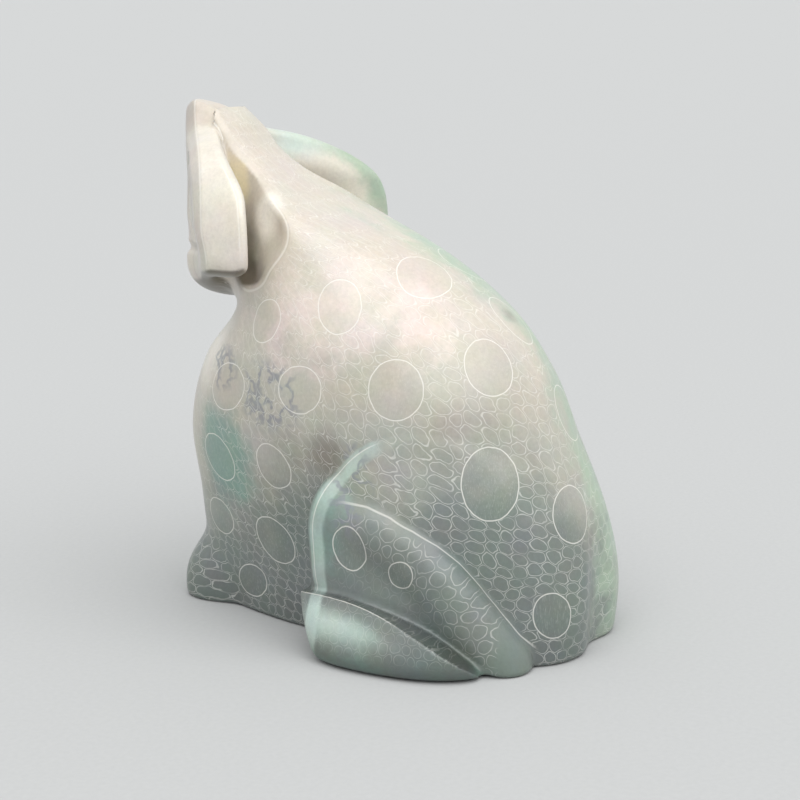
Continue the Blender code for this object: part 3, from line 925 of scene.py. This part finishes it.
def tone_maps(at):
    """Where each tone lies, painted light and shadow among them, the level that the stone's drift goes by,
    and the painted shading that darkens and lightens the stone.
    """
    x, y, z = at.p.T
    head_edge = at.on["head"]
    on_head = step(0.0, 0.8, head_edge)
    on_foot = step(0.0, 0.8, at.on["foot"])
    on_shin = step(0.0, 0.8, at.on["shin"])
    upward = at.normals[:, 2]

    lobe = step(2, -6, x)*on_head*step(1.5, 3.0, at.depth)
    lobe_rim = lobe*step(-12, -26, x)*step(-7.0, -1.0, at.outline)*step(101, 94, z)
    lobe_top = lobe*step(-4, -14, x)*step(91, 97, z)
    bowl = lobe*step(-1.5, -5.0, at.outline)
    in_hollow = step(0.6, 0.2, at.cleared)*step(0.1, 0.8, at.in_trunk)*step(0.0, -0.8, head_edge)
    # Painted shadow: dark brown deep and low in the hollows behind the wings.
    hollow_shading = in_hollow*np.maximum(step(14.5, 10.0, at.depth)*step(91, 80, z), 0.6*step(79, 72, z))
    # Painted glow: amber as of light shining through the thin web, high in the hollows.
    glow = in_hollow*step(2.0, 4.0, at.in_trunk)*step(84, 90, z)*step(102, 97, z)*step(13.0, 11.0, at.depth)
    # Painted shadow: dark brown on the downward faces under the jaw.
    under = step(-0.45, -0.75, upward)*step(82, 78, z)*step(62, 68, z)*step(-14, -22, y)
    ledge = step(0.55, 0.9, upward)
    # The foot's upward slope: paler green that also paints the light falling there.
    top_of_foot = on_foot*step(0.5, 9.0, z)*step(28, 6, y)*step(-12, 2, y)*(1 - 0.9*ledge)
    top_of_foot *= step(13.0, 8.5, z + FOOT_ARCH*y*y)
    low_foot = on_foot*step(8.0, 0.0, z)
    far_side = step(9, -9, x)*step(0.0, 1.0, -head_edge)*(1 - 0.85*step(76, 90, z))
    spine = step(16, 2, np.abs(x))*step(12, 30, y)

    level = z + 7*step(-10, -22, y)*step(56, 44, z) + 7*step(-30, -40, y)*step(10, 30, z)
    level = level - 5*step(10, 30, y)*step(60, 45, z) + 12*spine*step(2, 20, z)
    # Painted shading: darker on the head's front bevel, low on the foot, near the ground and on the foot's
    # upward ledge, lighter on the shin's lower part.
    painted_shading = 1 - 0.2*step(0.3, -0.3, at.from_bevel)*step(0, 0.5, head_edge) - 0.25*low_foot
    painted_shading = painted_shading - 0.2*step(12, 0, z) + 0.15*on_shin*step(20, 8, z) - 0.45*ledge*on_foot
    return {
        "level": level,
        "painted_shading": painted_shading,
        # Pale: the near head's own cream, and painted light on the far wing's dished back.
        "pale": np.clip(0.8*bowl + 0.5*on_head*step(2, 10, x) + patches("pale", at.p), 0, 1),
        "pink": patches("pink", at.p)*step(0.0, 1.0, -head_edge),
        "sea": patches("sea", at.p) + 0.5*low_foot,
        "mint": np.clip(0.7*lobe_top + 0.8*top_of_foot + 0.55*knee_strip(at), 0, 1),
        "green": np.clip((0.85 - 0.4*step(-12, -24, x))*far_side + lobe_rim, 0, 1),
        "brown": np.clip(0.9*hollow_shading + under + patches("brown", at.p), 0, 1),
        "glow": 0.75*glow,
        "veined": patches("veined", at.p),
    }


def engrave(mesh, p, normals):
    """Gives each point what the stone's material reads: its place in the engraving and its tones."""
    at = survey(p, normals)
    maps, cells = scale_maps(at)
    maps.update(line_maps(at))
    maps.update(tone_maps(at))
    for name, values in maps.items():
        layer = mesh.attributes.new(name, "FLOAT", "POINT")
        layer.data.foreach_set("value", values.astype(np.float32))
    layer = mesh.attributes.new("cells", "FLOAT_VECTOR", "POINT")
    layer.data.foreach_set("vector", cells.astype(np.float32).ravel())


def carved_frog():
    """The frog's fine skin as an object."""
    points, faces = skin()
    slope = field_slope(points)
    normals = slope/np.linalg.norm(slope, axis=1)[:, None]
    mesh = bpy.data.meshes.new("carved_frog")
    mesh.from_pydata(((points - (0, MIDDLE, 0))*PART).tolist(), [], faces.tolist())
    mesh.shade_smooth()
    mesh.normals_split_custom_set_from_vertices(normals.tolist())
    engrave(mesh, points, normals)
    mesh.materials.append(soapstone())
    frog = bpy.data.objects.new("carved_frog", mesh)
    bpy.context.scene.collection.objects.link(frog)
    return frog


def studio_floor():
    """A wide pale floor."""
    mesh = bpy.data.meshes.new("floor")
    half = FLOOR_HALF
    corners = [(-half, -half, 0), (half, -half, 0), (half, half, 0), (-half, half, 0)]
    mesh.from_pydata(corners, [], [(0, 1, 2, 3)])
    floor = bpy.data.objects.new("floor", mesh)
    bpy.context.scene.collection.objects.link(floor)
    n = Nodes("floor_paper")
    where = n.add("TexCoord", output="Object")
    tone = n.noise(where, 900.0, 2.0)
    n.put(n.shader.inputs["Base Color"], n.mix(tone, *PAPER))
    n.shader.inputs["Roughness"].default_value = 0.9
    n.shader.inputs["Specular IOR Level"].default_value = 0.15
    mesh.materials.append(n.material)
    return floor


def studio():
    """Even light from all round, and one broad light as soft as its angle is wide."""
    world = bpy.data.worlds.new("studio")
    world.use_nodes = True
    background = world.node_tree.nodes["Background"]
    background.inputs["Color"].default_value = (0.97, 0.985, 1.0, 1)
    background.inputs["Strength"].default_value = 0.78
    bpy.context.scene.world = world

    data = bpy.data.lights.new("window", "SUN")
    data.energy = 2.55
    data.angle = math.radians(80)
    window = bpy.data.objects.new("window", data)
    bpy.context.scene.collection.objects.link(window)
    window.rotation_euler = Vector(TO_WINDOW).to_track_quat("Z", "Y").to_euler()
    bpy.context.scene.view_settings.view_transform = "Standard"


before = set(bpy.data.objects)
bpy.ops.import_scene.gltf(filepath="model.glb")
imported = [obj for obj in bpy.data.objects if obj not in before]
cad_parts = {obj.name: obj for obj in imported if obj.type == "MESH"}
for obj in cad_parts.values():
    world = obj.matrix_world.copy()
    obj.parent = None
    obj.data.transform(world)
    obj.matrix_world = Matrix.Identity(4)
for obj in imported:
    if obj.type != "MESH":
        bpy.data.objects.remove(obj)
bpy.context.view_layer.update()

frog = carved_frog()
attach(frog, "root")
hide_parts("frog_carving")

floor = studio_floor()
studio()
stage_camera()
